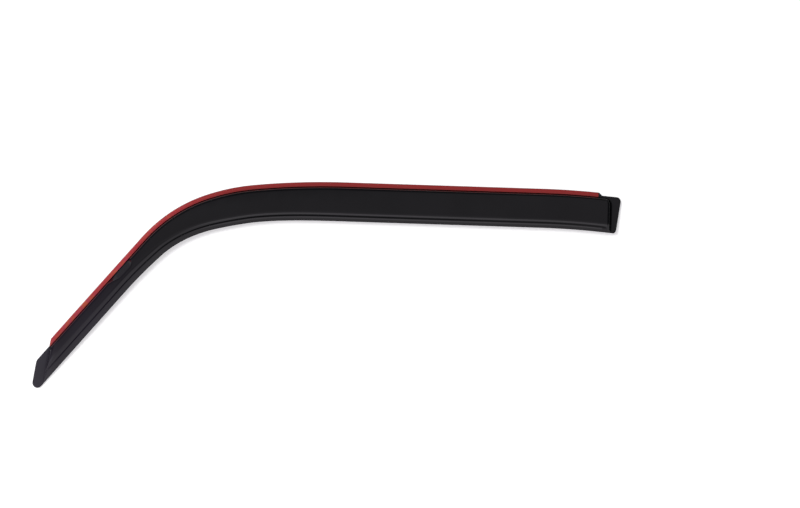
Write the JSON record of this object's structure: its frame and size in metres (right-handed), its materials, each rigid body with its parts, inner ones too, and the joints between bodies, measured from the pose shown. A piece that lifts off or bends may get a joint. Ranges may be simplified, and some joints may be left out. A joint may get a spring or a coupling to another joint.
{
  "type": "window rain deflector",
  "caption": "Smoked, bowed front-door window deflector with a taped top flange, a stepped face, a creased lower lip, flat end tabs and a relief in the pillar step.",
  "frame": {"origin": "middle of the bounding box in X and Y, on the ground that the part lies on, which is the lowest point of the sheet's inner side", "axes": "+X runs along the window's top edge towards the rear end, +Y towards the flange's edge over the window, +Z is the outer side, away from the glass; the pillar tip is at -X and -Y"},
  "size_m": [0.8534, 0.2984, 0.0209],
  "materials": {
    "smoked_acrylic": "moulded gloss, smoke tint, near black over a dark backing",
    "foam": "matt closed-cell acrylic foam tape",
    "liner": "satin red release film"
  },
  "bodies": {
    "root": {"deflector_shell": "smoked_acrylic", "foam_tape": "foam", "release_liner": "liner"}
  },
  "joints": []
}
